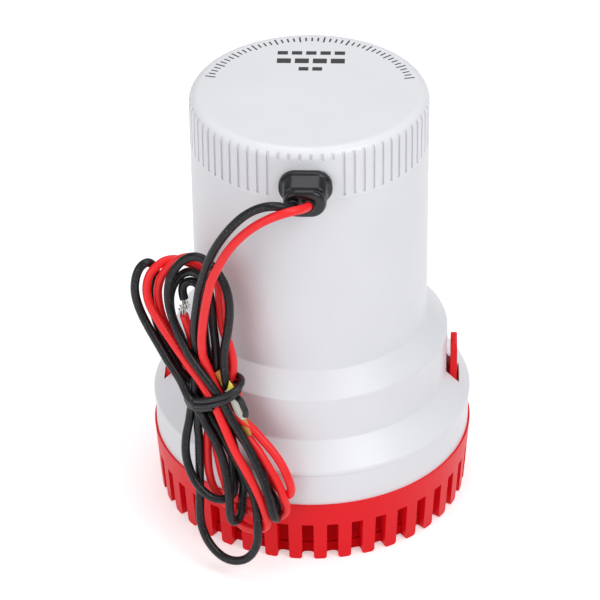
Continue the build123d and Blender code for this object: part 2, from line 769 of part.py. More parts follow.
def end_bell():
    lip_outer = can_inner - magnet_fit
    body = disc(can_radius, can_high, bell_high)
    body = body + ring(lip_outer, lip_outer - end_bell_lip_wall, can_high - end_bell_lip, can_high + cut_over)
    outer, inner = brush_width / 2 + brush_guide_wall, brush_width / 2 + brush_fit
    guide = block((commutator_radius + 2 * cut_over, -outer, brush_low - brush_guide_wall),
                  (brush_guide_end + brush_guide_end_wall, outer, can_high + cut_over))
    channel = block((commutator_radius, -inner, brush_low - brush_fit),
                    (brush_guide_end, inner, brush_high + brush_fit))
    body = body + on_both_sides(guide).children - on_both_sides(channel).children
    return body - disc(bearing_radius + press_gap, brush_low - 2 * brush_guide_wall, bell_high + cut_over)


def carbon_brushes():
    half = brush_width / 2
    brush = block((commutator_radius, -half, brush_low), (brush_end, half, brush_high))
    return on_both_sides(brush - disc(brush_start, brush_low - cut_over, brush_high + cut_over))


def brush_springs():
    length = brush_guide_end - brush_end
    coil = Cylinder(spring_outer, length, align=upright) - Cylinder(spring_inner, length, align=upright)
    middle = (brush_low + brush_high) / 2
    return on_both_sides(Pos(brush_end, 0, middle) * Rot(0, 90, 0) * coil)


def brush_terminals():
    half = terminal_width / 2
    flat_top, blade_inner = bell_high + terminal_thickness, terminal_outer - terminal_thickness
    strip = block((terminal_inner, -half, bell_high), (terminal_outer, half, flat_top))
    return on_both_sides(strip + block((blade_inner, -half, bell_high),
                                       (terminal_outer, half, bell_high + terminal_height)))


def bearing(low):
    return ring(bearing_radius, shaft_radius + running_gap, low, low + bearing_length)


def motor_leads():
    """The inner stretch of both leads, from the gland's inner button to the brush terminals."""
    leads = []
    start_y = -cap_skirt_inner + gland_button_room + gland_button_thickness
    end_x = terminal_outer - terminal_thickness - wire_diameter * inner_lead_share / 2 - latch_gap
    for side in (-1, 1):
        near_x, far_x = side * inner_lead_side, side * end_x
        points = [
            (near_x, start_y, gland_height),
            (near_x, start_y + inner_lead_run, gland_height),
            (side * inner_lead_run, -inner_lead_drop * 2, gland_height - inner_lead_drop),
            (far_x, -cut_over, bell_high + inner_lead_above_bell),
            (far_x, 0, bell_high + inner_lead_end),
        ]
        leads.append(tube_along(points, wire_diameter * inner_lead_share, inner_lead_bend))
    return Compound(children=leads)


# ---- leads, hank, tie and tag ----
def bend_radii(points):
    radii = []
    for before, here, after in zip(points, points[1:], points[2:]):
        first = Vector(*here) - Vector(*before)
        second = Vector(*after) - Vector(*here)
        turn = math.radians(first.get_angle(second))
        radii.append(0.45 * min(first.length, second.length) / math.tan(turn / 2))
    return radii


def tube_along(points, diameter, limit=None):
    radii = bend_radii(points)
    if limit:
        radii = [min(r, limit) for r in radii]
    path = FilletPolyline(*points, radius=radii)
    start = Plane(origin=path @ 0, z_dir=path % 0)
    return sweep(start * Circle(diameter / 2), path=path)


def report_tube(name, points, shape):
    path = FilletPolyline(*points, radius=bend_radii(points))
    section = math.pi * wire_diameter ** 2 / 4
    radii = " ".join(f"{r:.0f}" for r in bend_radii(points))
    print(f"{name}: length {path.length:.1f}, radii {radii}, volume {shape.volume:.1f},"
          f" section x length {section * path.length:.1f}")


hank_plane = Plane(origin=hank_middle, x_dir=(1, -hank_turned_back, 0),
                   z_dir=(-hank_turned_back, -1, hank_lean))


def lead_hank():
    """The outer shape of the tied hank: a loop of wire above the tie and one below it."""
    outline = FilletPolyline(*hank_outline, radius=[hank_corner] * len(hank_outline), close=True)
    slab = extrude(make_face(outline), hank_thickness / 2, both=True)
    return hank_plane * slab


def wire_tie():
    outer = RectangleRounded(tie_width, tie_depth, tie_corner)
    inner = RectangleRounded(tie_width - 2 * tie_wall, tie_depth - 2 * tie_wall, tie_corner - tie_wall)
    band = extrude(outer - inner, tie_band / 2, both=True)
    return hank_plane * Pos(*tie_middle, 0) * Rot(0, 0, tie_tilt) * Rot(90, 0, 0) * band


def wire_tag():
    strip = Box(tag_length, tag_width, tag_thickness)
    return hank_plane * Pos(*tag_middle, (hank_thickness + tag_thickness) / 2) * Rot(0, 0, tag_tilt) * strip


def bare_ends():
    tip = Rot(-90, 0, 0) * Cylinder(bare_end_radius, bare_end_length, align=upright)
    return Compound(children=[
        hank_plane * Pos(s, t, depth) * Rot(0, 0, angle) * tip for s, t, depth, angle in bare_end_places])


lead_black = tube_along(lead_black_route, wire_diameter)
lead_red = tube_along(lead_red_route, wire_diameter)
report_tube("lead_black", lead_black_route, lead_black)
report_tube("lead_red", lead_red_route, lead_red)

pieces = {
    "strainer": strainer(),
    "latch_tab_left": latch_tab(-1),
    "latch_tab_right": latch_tab(1),
    "motor_housing": motor_housing(),
    "top_cap": top_cap(),
    "cap_o_ring": o_ring(barrel_inner, cap_o_ring_height),
    "cable_gland": cable_gland(),
    "pump_chamber": pump_chamber(),
    "chamber_o_ring": o_ring(collar_inner, chamber_o_ring_height),
    "suction_plate": suction_plate(),
    "chamber_screws": chamber_screws(),
    "impeller": impeller(),
    "impeller_screw": impeller_screw(),
    "motor_shaft": motor_shaft(),
    "shaft_seals": shaft_seals(),
    "seal_retainer": seal_retainer(),
    "motor_can": motor_can(),
    "motor_screws": motor_screws(),
    "field_magnets": field_magnets(),
    "armature_core": armature_core(),
    "armature_windings": armature_windings(),
    "commutator": commutator(),
    "end_bell": end_bell(),
    "carbon_brushes": carbon_brushes(),
    "brush_springs": brush_springs(),
    "brush_terminals": brush_terminals(),
    "lower_bearing": bearing(can_low - bearing_proud),
    "upper_bearing": bearing(can_high - upper_bearing_drop),
    "motor_leads": motor_leads(),
    "lead_black": lead_black,
    "lead_red": lead_red,
    "lead_hank": lead_hank(),
    "wire_tie": wire_tie(),
    "wire_tag": wire_tag(),
    "bare_ends": bare_ends(),
}

for name, shape in pieces.items():
    export_step(shape, f"parts/{name}.step")
    print(name, len(shape.solids()), round(sum(s.volume for s in shape.solids())))
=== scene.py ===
import bpy
import math
from mathutils import Matrix, Vector
from mathutils.kdtree import KDTree


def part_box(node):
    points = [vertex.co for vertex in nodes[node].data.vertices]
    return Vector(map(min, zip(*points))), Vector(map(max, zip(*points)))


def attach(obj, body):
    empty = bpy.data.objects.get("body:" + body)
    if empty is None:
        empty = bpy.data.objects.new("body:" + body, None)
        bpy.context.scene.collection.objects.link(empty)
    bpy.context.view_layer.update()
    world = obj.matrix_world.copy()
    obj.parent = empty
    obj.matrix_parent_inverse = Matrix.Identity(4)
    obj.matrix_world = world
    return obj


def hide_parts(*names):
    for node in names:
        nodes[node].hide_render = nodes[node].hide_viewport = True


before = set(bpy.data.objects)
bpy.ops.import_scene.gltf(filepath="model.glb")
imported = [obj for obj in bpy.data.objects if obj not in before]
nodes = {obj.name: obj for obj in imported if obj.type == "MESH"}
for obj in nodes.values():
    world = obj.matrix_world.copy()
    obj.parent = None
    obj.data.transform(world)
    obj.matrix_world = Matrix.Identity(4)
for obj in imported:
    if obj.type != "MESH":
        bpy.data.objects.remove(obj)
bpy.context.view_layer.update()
print("frame loaded with", len(nodes), "nodes")


# camera: a long lens a little above the gland side
cameraView = {
    "place": (0.0329325, -0.913763, 0.673921),
    "right": (0.99939062, 0.03337605, -0.0102194),
    "up": (-0.00989309, 0.55160815, 0.83404471),
    "lens": 195.23,
    "sensor": 36,
}


def makeCamera():
    data = bpy.data.cameras.new("camera")
    data.lens = cameraView["lens"]
    data.sensor_width = cameraView["sensor"]
    camera = bpy.data.objects.new("camera", data)
    right, up = Vector(cameraView["right"]), Vector(cameraView["up"])
    turn = Matrix((right, up, right.cross(up))).transposed().to_4x4()
    camera.matrix_world = Matrix.Translation(cameraView["place"]) @ turn
    bpy.context.scene.collection.objects.link(camera)
    bpy.context.scene.camera = camera


makeCamera()
print("camera set")


# finishes: colour, roughness, and the depth and fineness of the moulded grain
# shine is how much the surface mirrors; a finish may also carry painted glow, an emission in its own
# colour that stands in for light passing through the dyed plastic
finishes = {
    "whiteHousing": {"colour": (0.80, 0.80, 0.83), "rough": 0.34, "grain": 0.000014, "fine": 900},
    "whiteCap": {"colour": (0.82, 0.82, 0.85), "rough": 0.32, "grain": 0.000012, "fine": 1100},
    "redPlastic": {"colour": (0.72, 0.004, 0.010), "rough": 0.42, "grain": 0.000012, "fine": 900,
                   "shine": 0.25, "paintedGlow": 0.14},
    # a darker copy of the red plastic without glow: painted shade for the webs deep in the strainer's
    # slots
    "redPaintedShade": {"colour": (0.50, 0.001, 0.004), "rough": 0.60, "grain": 0.000012, "fine": 900,
                  "shine": 0.05},
    "glandRubber": {"colour": (0.006, 0.006, 0.008), "rough": 0.30, "grain": 0.00003, "fine": 1500},
    "sealRubber": {"colour": (0.020, 0.020, 0.021), "rough": 0.60, "grain": 0.00003, "fine": 1500},
    "blackSleeve": {"colour": (0.006, 0.006, 0.008), "rough": 0.34, "grain": 0.00004, "fine": 1200,
                    "shine": 0.36, "speck": (0.16, 0.16, 0.17)},
    "redSleeve": {"colour": (0.90, 0.016, 0.020), "rough": 0.36, "grain": 0.00002, "fine": 1200,
                  "shine": 0.40, "paintedGlow": 0.04},
    "tieWire": {"colour": (0.009, 0.009, 0.011), "rough": 0.38, "grain": 0.00004, "fine": 1500},
    "tinnedCopper": {"colour": (0.60, 0.58, 0.54), "rough": 0.30, "grain": 0.00005, "fine": 2500,
                     "metal": 1},
    "stainless": {"colour": (0.60, 0.60, 0.60), "rough": 0.25, "grain": 0.00001, "fine": 1500,
                  "metal": 1},
    "zincSteel": {"colour": (0.58, 0.58, 0.60), "rough": 0.40, "grain": 0.00003, "fine": 600,
                  "metal": 1},
    "windingCopper": {"colour": (0.70, 0.34, 0.20), "rough": 0.30, "grain": 0.00010, "fine": 900,
                      "metal": 1},
    "bearingBronze": {"colour": (0.56, 0.40, 0.20), "rough": 0.45, "grain": 0.00004, "fine": 1200,
                      "metal": 1},
    "darkIron": {"colour": (0.10, 0.10, 0.10), "rough": 0.50, "grain": 0.00006, "fine": 900,
                 "metal": 1},
    "magnetGrey": {"colour": (0.06, 0.06, 0.065), "rough": 0.62, "grain": 0.00008, "fine": 1200},
    "brushCarbon": {"colour": (0.025, 0.025, 0.025), "rough": 0.55, "grain": 0.00008, "fine": 1500},
    "greyPlastic": {"colour": (0.20, 0.20, 0.21), "rough": 0.45, "grain": 0.00003, "fine": 900},
    "capPrint": {"colour": (0.045, 0.045, 0.050), "rough": 0.50, "grain": 0.00001, "fine": 1500},
    "tagPaper": {"colour": (0.86, 0.83, 0.74), "rough": 0.45, "grain": 0.00003, "fine": 1800},
    "tagAmber": {"colour": (0.62, 0.30, 0.06), "rough": 0.40, "grain": 0.00003, "fine": 1800},
    "tagYellow": {"colour": (0.88, 0.76, 0.06), "rough": 0.40, "grain": 0.00003, "fine": 1800},
    "tagEdge": {"colour": (0.05, 0.04, 0.035), "rough": 0.50, "grain": 0.00003, "fine": 1800},
}
surface = {
    "toneDrift": 0.03,       # share by which a colour drifts over a piece
    "roughDrift": 0.05,
    "cloudScale": 25, "cloudDetail": 3, "cloudLow": 0.3, "cloudHigh": 0.7,
    "grainDetail": 4, "bumpStrength": 0.4,
    "dustScale": 2400, "dustDetail": 2, "dustLow": 0.64, "dustHigh": 0.74,
}
materials = {}


def joinNodes(tree, start, end):
    tree.links.new(start, end)


def addSpecks(tree, place, tone, shader, speckColour):
    # fine pale dust along the sleeve
    dust = tree.nodes.new("ShaderNodeTexNoise")
    dust.inputs["Scale"].default_value = surface["dustScale"]
    dust.inputs["Detail"].default_value = surface["dustDetail"]
    pick = tree.nodes.new("ShaderNodeMapRange")
    pick.inputs["From Min"].default_value = surface["dustLow"]
    pick.inputs["From Max"].default_value = surface["dustHigh"]
    blend = tree.nodes.new("ShaderNodeMix")
    blend.data_type = "RGBA"
    blend.inputs["B"].default_value = (*speckColour, 1)
    joinNodes(tree, place.outputs["Object"], dust.inputs["Vector"])
    joinNodes(tree, dust.outputs["Fac"], pick.inputs["Value"])
    joinNodes(tree, pick.outputs["Result"], blend.inputs["Factor"])
    joinNodes(tree, tone.outputs["Color"], blend.inputs["A"])
    joinNodes(tree, blend.outputs["Result"], shader.inputs["Base Color"])


def makeFinish(name, facts):
    material = bpy.data.materials.new(name)
    material.use_nodes = True
    tree = material.node_tree
    shader = tree.nodes["Principled BSDF"]
    shader.inputs["Metallic"].default_value = facts.get("metal", 0)
    shader.inputs["Specular IOR Level"].default_value = facts.get("shine", 0.5)
    shader.inputs["Emission Color"].default_value = (*facts["colour"], 1)
    # painted glow: the finish's colour given out as emission, standing in for light carried through the
    # plastic
    shader.inputs["Emission Strength"].default_value = facts.get("paintedGlow", 0)
    place = tree.nodes.new("ShaderNodeTexCoord")

    cloud = tree.nodes.new("ShaderNodeTexNoise")
    cloud.inputs["Scale"].default_value = surface["cloudScale"]
    cloud.inputs["Detail"].default_value = surface["cloudDetail"]
    tone = tree.nodes.new("ShaderNodeValToRGB")
    drift = surface["toneDrift"]
    places = (surface["cloudLow"], surface["cloudHigh"])
    for stop, share, stopPlace in zip(tone.color_ramp.elements, (1 - drift, 1 + drift), places):
        stop.color = (*[min(1, part * share) for part in facts["colour"]], 1)
        stop.position = stopPlace
    joinNodes(tree, place.outputs["Object"], cloud.inputs["Vector"])
    joinNodes(tree, cloud.outputs["Fac"], tone.inputs["Fac"])
    if "speck" in facts:
        addSpecks(tree, place, tone, shader, facts["speck"])
    else:
        joinNodes(tree, tone.outputs["Color"], shader.inputs["Base Color"])

    grain = tree.nodes.new("ShaderNodeTexNoise")
    grain.inputs["Scale"].default_value = facts["fine"]
    grain.inputs["Detail"].default_value = surface["grainDetail"]
    gloss = tree.nodes.new("ShaderNodeMapRange")
    gloss.inputs["To Min"].default_value = facts["rough"] - surface["roughDrift"]
    gloss.inputs["To Max"].default_value = facts["rough"] + surface["roughDrift"]
    bump = tree.nodes.new("ShaderNodeBump")
    bump.inputs["Strength"].default_value = surface["bumpStrength"]
    bump.inputs["Distance"].default_value = facts["grain"]
    joinNodes(tree, place.outputs["Object"], grain.inputs["Vector"])
    joinNodes(tree, grain.outputs["Fac"], gloss.inputs["Value"])
    joinNodes(tree, gloss.outputs["Result"], shader.inputs["Roughness"])
    joinNodes(tree, grain.outputs["Fac"], bump.inputs["Height"])
    joinNodes(tree, bump.outputs["Normal"], shader.inputs["Normal"])
    materials[name] = material


for finishName, finishFacts in finishes.items():
    makeFinish(finishName, finishFacts)
print("finishes made:", len(materials))


# the finish of each moulded or turned part
partFinish = {
    "redPlastic": ["strainer", "latch_tab_left", "latch_tab_right"],
    "whiteHousing": ["motor_housing", "pump_chamber", "suction_plate"],
    "whiteCap": ["top_cap"],
    "glandRubber": ["cable_gland"],
    "sealRubber": ["cap_o_ring", "chamber_o_ring", "shaft_seals"],
    "stainless": ["chamber_screws", "impeller_screw", "motor_shaft", "seal_retainer", "motor_screws"],
    "zincSteel": ["motor_can"],
    "magnetGrey": ["field_magnets"],
    "darkIron": ["armature_core"],
    "windingCopper": ["armature_windings", "commutator"],
    "greyPlastic": ["impeller", "end_bell"],
    "brushCarbon": ["carbon_brushes"],
    "bearingBronze": ["brush_springs", "brush_terminals", "lower_bearing", "upper_bearing"],
    "blackSleeve": ["motor_leads", "lead_black", "lead_hank"],
    "redSleeve": ["lead_red"],
    "tieWire": ["wire_tie"],
    "tinnedCopper": ["bare_ends"],
}


def paintParts():
    for finish, parts in partFinish.items():
        for part in parts:
            node = nodes[part]
            if not node.material_slots:
                node.data.materials.append(materials[finish])
            for place in node.material_slots:
                place.material = materials[finish]


paintParts()
print("parts painted")


def addPiece(name, mesh, finish, body="pump_body"):
    piece = bpy.data.objects.new(name, mesh)
    bpy.context.scene.collection.objects.link(piece)
    mesh.materials.append(materials[finish])
    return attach(piece, body)


# the hank lies in a leaning plane: across it, up it and out of it, away from the pump
# its layers of wire are stepped across and up as they come out
hankPlane = {
    "middle": (-0.031, -0.048, 0.060),
    "across": (1, -0.30, 0),
    "outward": (-0.30, -1, 0.22),
    "step": (0.307, 0.426),
}


def hankMatrix():
    across = Vector(hankPlane["across"]).normalized()
    outward = Vector(hankPlane["outward"]).normalized()
    turn = Matrix((across, outward.cross(across), outward)).transposed().to_4x4()
    return Matrix.Translation(hankPlane["middle"]) @ turn


hankPlace = hankMatrix()


def hankPoint(across, up, out):
    # millimetres in the hank, with the layer's step added
    stepAcross, stepUp = hankPlane["step"]
    return Vector((across + stepAcross * out, up + stepUp * out, out)) * 0.001


# leads: the free stretch in metres, then the folds of the hank in the order the wire was wound
# a fold is across, up and out in millimetres from one pass through the tie to the next
wire = {
    "diameter": 0.0029,
    "foldSteps": 40, "tailSteps": 20,            # points along each fold, and along the tail
    "entering": 4, "enteringSteps": 16,          # last places of the free stretch, and their new steps
    "backLimit": -0.0042, "frontLimit": 0.0056,  # how far out of the hank's plane a wire may lie
    "tightest": 0.0022, "calm": 0.2,             # radius below which a bend is drawn out, and how fast
    "rounds": 60, "sampleStep": 0.0012, "push": 0.10, "longestPush": 0.0003,
    "selfTouch": 4,                              # diameters along a wire within which it ignores itself
}

blackLead = {
    "name": "leadBlack", "finish": "blackSleeve", "slot": "black_sleeve",
    "free": [
        (-0.0034, -0.0505, 0.1382), (-0.0040, -0.0542, 0.1388), (-0.0092, -0.0558, 0.1412),
        (-0.0154, -0.0552, 0.1394), (-0.0220, -0.0532, 0.1330), (-0.0296, -0.0514, 0.1208),
        (-0.0339, -0.0486, 0.1054), (-0.0359, -0.0466, 0.0906), (-0.0363, -0.0452, 0.0778),
        (-0.0364, -0.0450, 0.0685),
    ],
    "folds": [
        # a round loop low on the left
        [(-6.4, 0, 0.6), (-7.0, -5.5, 1.0), (-8.3, -13.6, 2.0), (-7.8, -21.0, 2.6),
         (-4.6, -28.4, 3.0), (0.6, -33.0, 2.8), (5.6, -33.4, 1.4), (9.4, -30.0, -0.8),
         (9.4, -22.0, -2.4), (5.2, -9.0, -3.6)],
        # the inner arch at the top
        [(-0.4, 0, -4.0), (-6.0, 9.0, -3.6), (-12.2, 20.0, -2.8), (-15.8, 30.0, -2.2),
         (-15.8, 37.6, -1.8), (-12.4, 43.2, -1.4), (-8.6, 44.6, -1.0), (-4.6, 42.2, -1.0),
         (-1.6, 35.0, -1.0), (-0.6, 26.0, -1.0), (0.6, 17.0, -0.8), (0.6, 8.0, 0.0)],
        # the long loop that hangs lowest
        [(-2.9, 0, 1.0), (-4.4, -7.0, 0.6), (-3.5, -15.0, 0.2), (-3.0, -25.0, 0), (-2.5, -35.0, 0),
         (-1.8, -43.5, 0.3), (1.9, -50.8, 0.8), (8.0, -55.0, 1.0), (14.6, -53.6, 1.2),
         (18.4, -47.0, 1.3), (18.4, -38.0, 1.3), (15.4, -28.6, 1.1), (10.6, -20.2, 0.9),
         (5.6, -12.6, 0.5), (1.2, -5.6, -0.4)],
        # a narrow loop at the upper left
        [(-2.4, 0, -1.6), (-6.9, 6.4, -1.6), (-12.9, 14.2, -1.4), (-19.4, 23.9, -2.0),
         (-22.3, 31.6, -3.0), (-21.5, 39.2, -3.4), (-21.5, 43.4, -2.8), (-23.9, 45.4, -0.8),
         (-27.1, 42.6, 1.0), (-28.4, 36.4, 1.6), (-27.0, 30.0, 1.0), (-22.6, 22.2, 1.0),
         (-15.0, 12.2, 1.4), (-8.8, 4.6, 2.2)],
        # a narrow loop in the lower middle
        [(-5.0, 0, 3.0), (-1.6, -6.8, 3.0), (2.4, -13.4, 3.0), (5.6, -21.4, 3.0), (7.4, -30.0, 3.7),
         (8.3, -37.9, 4.1), (9.1, -40.3, 3.1), (10.6, -40.5, 0.6), (11.9, -38.3, -1.9),
         (12.2, -34.8, -2.9), (11.6, -28.0, -2.6), (10.2, -22.0, -2.2), (7.2, -12.0, -1.4)],
        # the outer arch at the top
        [(4.0, 0, -1.4), (4.9, 7.6, -0.4), (3.7, 14.0, 0.8), (3.3, 20.0, 1.6), (4.2, 27.0, 2.0),
         (4.3, 35.0, 2.2), (2.4, 42.2, 2.6), (-2.4, 48.2, 3.0), (-7.4, 50.4, 3.0),
         (-12.2, 48.2, 3.0), (-15.9, 42.4, 3.0), (-16.8, 36.0, 3.0), (-15.6, 29.6, 3.2),
         (-12.6, 22.6, 3.6), (-7.6, 15.6, 4.2), (-1.4, 8.4, 4.2)],
        # a narrow loop at the lower right
        [(4.6, 0, 3.2), (8.4, -5.8, 2.8), (13.4, -13.2, 3.0), (17.7, -20.8, 3.0),
         (21.0, -28.6, 3.6), (22.8, -34.2, 3.8), (24.0, -36.4, 2.8), (25.1, -36.5, 0.2),
         (25.5, -34.3, -2.4), (24.9, -31.0, -3.4), (21.4, -24.4, -3.5), (15.0, -14.0, -3.4)],
    ],
    "tail": [(5.6, 0, -4.0), (1.4, 7.0, -4.0), (-2.0, 15.0, -3.8), (-3.8, 24.0, -3.4),
             (-4.6, 32.0, -2.8), (-5.0, 38.4, -2.0), (-8.0, 42.0, -1.2), (-11.4, 41.0, -0.4),
             (-12.2, 37.6, 0), (-11.2, 34.8, 0.2)],
}
redLead = {
    "name": "leadRed", "finish": "redSleeve", "slot": "red_sleeve",
    "free": [
        (0.0018, -0.0500, 0.1378), (0.0006, -0.0536, 0.1388), (-0.0046, -0.0574, 0.1398),
        (-0.0110, -0.0572, 0.1372), (-0.0176, -0.0556, 0.1318), (-0.0242, -0.0542, 0.1236),
        (-0.0298, -0.0526, 0.1110), (-0.0325, -0.0502, 0.0966), (-0.0338, -0.0487, 0.0828),
        (-0.0326, -0.0478, 0.0736),
    ],
    "folds": [
        # the outer loop at the lower right
        [(5.4, 0.6, 0), (10.2, -4.2, -0.6), (15.6, -8.0, -1.0), (21.0, -12.3, -1.0),
         (25.6, -18.0, -1.0), (28.1, -24.0, -1.2), (27.0, -28.8, -2.4), (23.0, -26.4, -3.6),
         (17.6, -18.0, -3.8), (10.0, -8.0, -4.0)],
        # an arch at the top, beside the black ones
        [(2.6, 0, -4.0), (-5.0, 8.4, -3.6), (-12.0, 16.2, -2.8), (-17.2, 23.4, -1.6),
         (-19.8, 31.0, -1.0), (-20.5, 37.6, -1.0), (-18.6, 43.6, -1.0), (-14.4, 48.2, -1.0),
         (-9.0, 50.0, -1.2), (-3.6, 47.6, -1.6), (0.2, 42.0, -1.8), (0.6, 35.0, -1.6),
         (1.9, 28.0, -1.8), (4.9, 21.6, -2.2), (6.7, 13.6, -2.4), (5.2, 6.0, -2.0)],
        # a wide loop low behind the others
        [(1.4, 0, -1.6), (-0.4, -7.0, -1.4), (-1.1, -14.0, -1.4), (-0.5, -21.6, -1.8),
         (1.6, -29.0, -2.4), (6.6, -33.8, -3.0), (13.2, -36.2, -3.2), (19.6, -37.4, -3.2),
         (24.6, -36.0, -3.0), (27.3, -31.6, -2.4), (26.2, -26.4, -1.2), (21.8, -20.6, -0.2),
         (16.6, -13.2, 0), (11.6, -6.4, -0.8)],
        # the widest arch, at the upper left
        [(7.4, 0, -1.4), (7.4, 7.6, -3.0), (5.4, 15.0, -3.8), (4.0, 23.0, -4.0), (4.2, 31.0, -4.0),
         (2.4, 38.6, -4.0), (-1.8, 43.8, -4.0), (-7.4, 46.8, -3.8), (-13.4, 48.0, -3.2),
         (-19.0, 46.4, -1.6), (-23.0, 42.8, 0), (-24.4, 37.0, 1.2), (-22.9, 30.7, 1.8),
         (-18.6, 24.4, 2.4), (-12.2, 16.6, 3.2), (-4.8, 8.4, 4.0)],
        # the front loop low in the middle
        [(1.3, 0, 4.6), (4.6, -7.0, 4.0), (8.6, -14.8, 3.6), (13.6, -22.4, 3.2), (17.8, -29.4, 2.8),
         (20.4, -35.6, 2.2), (20.6, -40.2, 0.8), (17.0, -42.6, -1.2), (12.4, -41.6, -2.6),
         (8.6, -37.0, -3.2), (6.2, -30.0, -3.4), (3.6, -21.0, -3.4), (1.2, -12.0, -3.6)],
    ],
    "tail": [(-3.2, 0, -4.0), (-4.4, 8.0, -3.6), (-6.0, 15.0, -2.4), (-8.4, 22.4, 0.4),
             (-11.0, 29.6, 3.2)],
}


def roundOff(points, steps):
    # a smooth curve through the points, in equal steps, without its last point
    finePerSpan = 12
    fine = []
    ends = [points[0] * 2 - points[1]] + points + [points[-1] * 2 - points[-2]]
    for a, b, c, d in zip(ends, ends[1:], ends[2:], ends[3:]):
        for part in range(finePerSpan):
            share = part / finePerSpan
            fine.append(b + (c - a) * share / 2 + (a * 2 - b * 5 + c * 4 - d) * share ** 2 / 2
                        + (b * 3 - a - c * 3 + d) * share ** 3 / 2)
    fine.append(points[-1])
    reach = [0]
    for here, there in zip(fine, fine[1:]):
        reach.append(reach[-1] + (there - here).length)
    even = []
    for step in range(steps):
        wanted = reach[-1] * step / steps
        index = max(place for place, length in enumerate(reach) if length <= wanted)
        share = (wanted - reach[index]) / (reach[index + 1] - reach[index])
        even.append(fine[index].lerp(fine[index + 1], share))
    return even


def hankStrand(lead):
    points = []
    for fold, following in zip(lead["folds"], lead["folds"][1:] + [lead["tail"]]):
        points += roundOff([hankPoint(*place) for place in fold + following[:1]], wire["foldSteps"])
    tail = [hankPoint(*place) for place in lead["tail"]]
    return points + roundOff(tail, wire["tailSteps"]) + tail[-1:]


def wholeStrand(lead):
    # the last of the free stretch goes in among the folds, so it is eased apart with them
    inward = hankPlace.inverted()
    folds = hankStrand(lead)
    entering = [inward @ Vector(point) for point in lead["free"][-wire["entering"]:]]
    return roundOff(entering + folds[:1], wire["enteringSteps"]) + folds


def calmBends(points):
    # where the wire is bent tighter than it can be, it is drawn a little straighter
    for before, here, after in zip(points, points[1:], points[2:]):
        reach, onward = here - before, after - here
        bend = reach.angle(onward)
        if bend * wire["tightest"] > (reach.length + onward.length) / 2:
            here += ((before + after) / 2 - here) * wire["calm"]


def sampleStrands(strands):
    # places along every wire, each with its wire, its span, its share of the span and its distance along
    samples = []
    for strandIndex, points in enumerate(strands):
        travelled = 0
        for index, (here, there) in enumerate(zip(points, points[1:])):
            count = max(1, round((there - here).length / wire["sampleStep"]))
            for part in range(count):
                share = part / count
                samples.append((here.lerp(there, share), strandIndex, index, share, travelled))
                travelled += (there - here).length / count
    return samples


def findPushes(strands):
    # for each point, how far the wires that lie too near press it aside
    samples = sampleStrands(strands)
    tree = KDTree(len(samples))
    for index, sample in enumerate(samples):
        tree.insert(sample[0], index)
    tree.balance()
    pushes = [[Vector() for point in points] for points in strands]
    for number, (place, strand, index, share, travelled) in enumerate(samples):
        for other, otherNumber, distance in tree.find_range(place, wire["diameter"]):
            if otherNumber <= number:
                continue
            _, otherStrand, otherIndex, otherShare, otherTravelled = samples[otherNumber]
            between = abs(otherTravelled - travelled)
            if strand == otherStrand and between < wire["selfTouch"] * wire["diameter"]:
                continue
            apart = place - other
            if apart.length < 1e-6:
                apart = Vector((0, 0, 1))
            push = apart.normalized() * (wire["diameter"] - distance) * wire["push"]
            pushes[strand][index] += push * (1 - share)
            pushes[strand][index + 1] += push * share
            pushes[otherStrand][otherIndex] -= push * (1 - otherShare)
            pushes[otherStrand][otherIndex + 1] -= push * otherShare
    return pushes


def easeApart(strands):
    # wires that cross press each other aside until they lie about a diameter apart
    for _ in range(wire["rounds"]):
        for points, moves in zip(strands, findPushes(strands)):
            for index in range(1, len(points) - 1):
                # a push is shared with the neighbours, so that it leaves no kink
                nearby = moves[max(0, index - 2):index + 3]
                shared = sum(nearby, Vector()) / len(nearby)
                move = shared + (moves[index] - shared) / 3
                if move.length > wire["longestPush"]:
                    move = move.normalized() * wire["longestPush"]
                points[index] += move
                if index >= wire["enteringSteps"]:
                    points[index].z = max(wire["backLimit"], min(wire["frontLimit"], points[index].z))
            calmBends(points)


def cordCurve(name, points, finish):
    data = bpy.data.curves.new(name, "CURVE")
    data.dimensions = "3D"
    spline = data.splines.new("NURBS")
    spline.points.add(len(points) - 1)
    for knot, point in zip(spline.points, points):
        knot.co = (*point, 1)
    spline.order_u = 3
    spline.use_endpoint_u = True
    spline.resolution_u = 6
    data.bevel_depth = wire["diameter"] / 2
    data.bevel_resolution = 5
    data.use_fill_caps = True
    return addPiece(name, data, finish)


def makeLeads():
    leads = (blackLead, redLead)
    strands = [wholeStrand(lead) for lead in leads]
    easeApart(strands)
    made = []
    for lead, strand in zip(leads, strands):
        points = [Vector(point) for point in lead["free"][:-wire["entering"]]]
        points += [hankPlace @ point for point in strand]
        made.append(cordCurve(lead["name"], points, lead["finish"]))
    return made


leadBlack, leadRed = makeLeads()
print("leads made")


# the tie: three turns of thin black wire round the waist of the hank, higher behind than in front
# lengths in millimetres in the hank; each turn has its half width and how far it lies up the waist
tie = {
    "turns": [(10.0, 1.9), (9.6, 0), (8.7, -2.0)],
    "middle": (0.3, 5.4),
    "rise": 0.43,            # up for each millimetre to the right
    "deep": 6.9,             # half its depth
    "climb": 0.66,           # up for each millimetre towards the back
    "thickness": 0.0021,
    "stepsPerTurn": 18,
    "startShare": 0.3,       # share of a turn before the left side where it starts, behind the wires
    "stopShort": 0.4,        # share of the last turn that is left out
    "stub": [(5.6, 4.6, 0), (8.4, 4.2, 1.6), (10.0, 3.0, 2.6), (10.9, 1.0, 3.0), (11.9, -0.8, 3.0),
             (11.7, -2.0, 2.6)],
}


def layWire(data, points):
    spline = data.splines.new("NURBS")
    spline.points.add(len(points) - 1)
    for knot, point in zip(spline.points, points):
        knot.co = (*(hankPlace @ point), 1)
    spline.order_u = 3
    spline.use_endpoint_u = True
    spline.resolution_u = 5


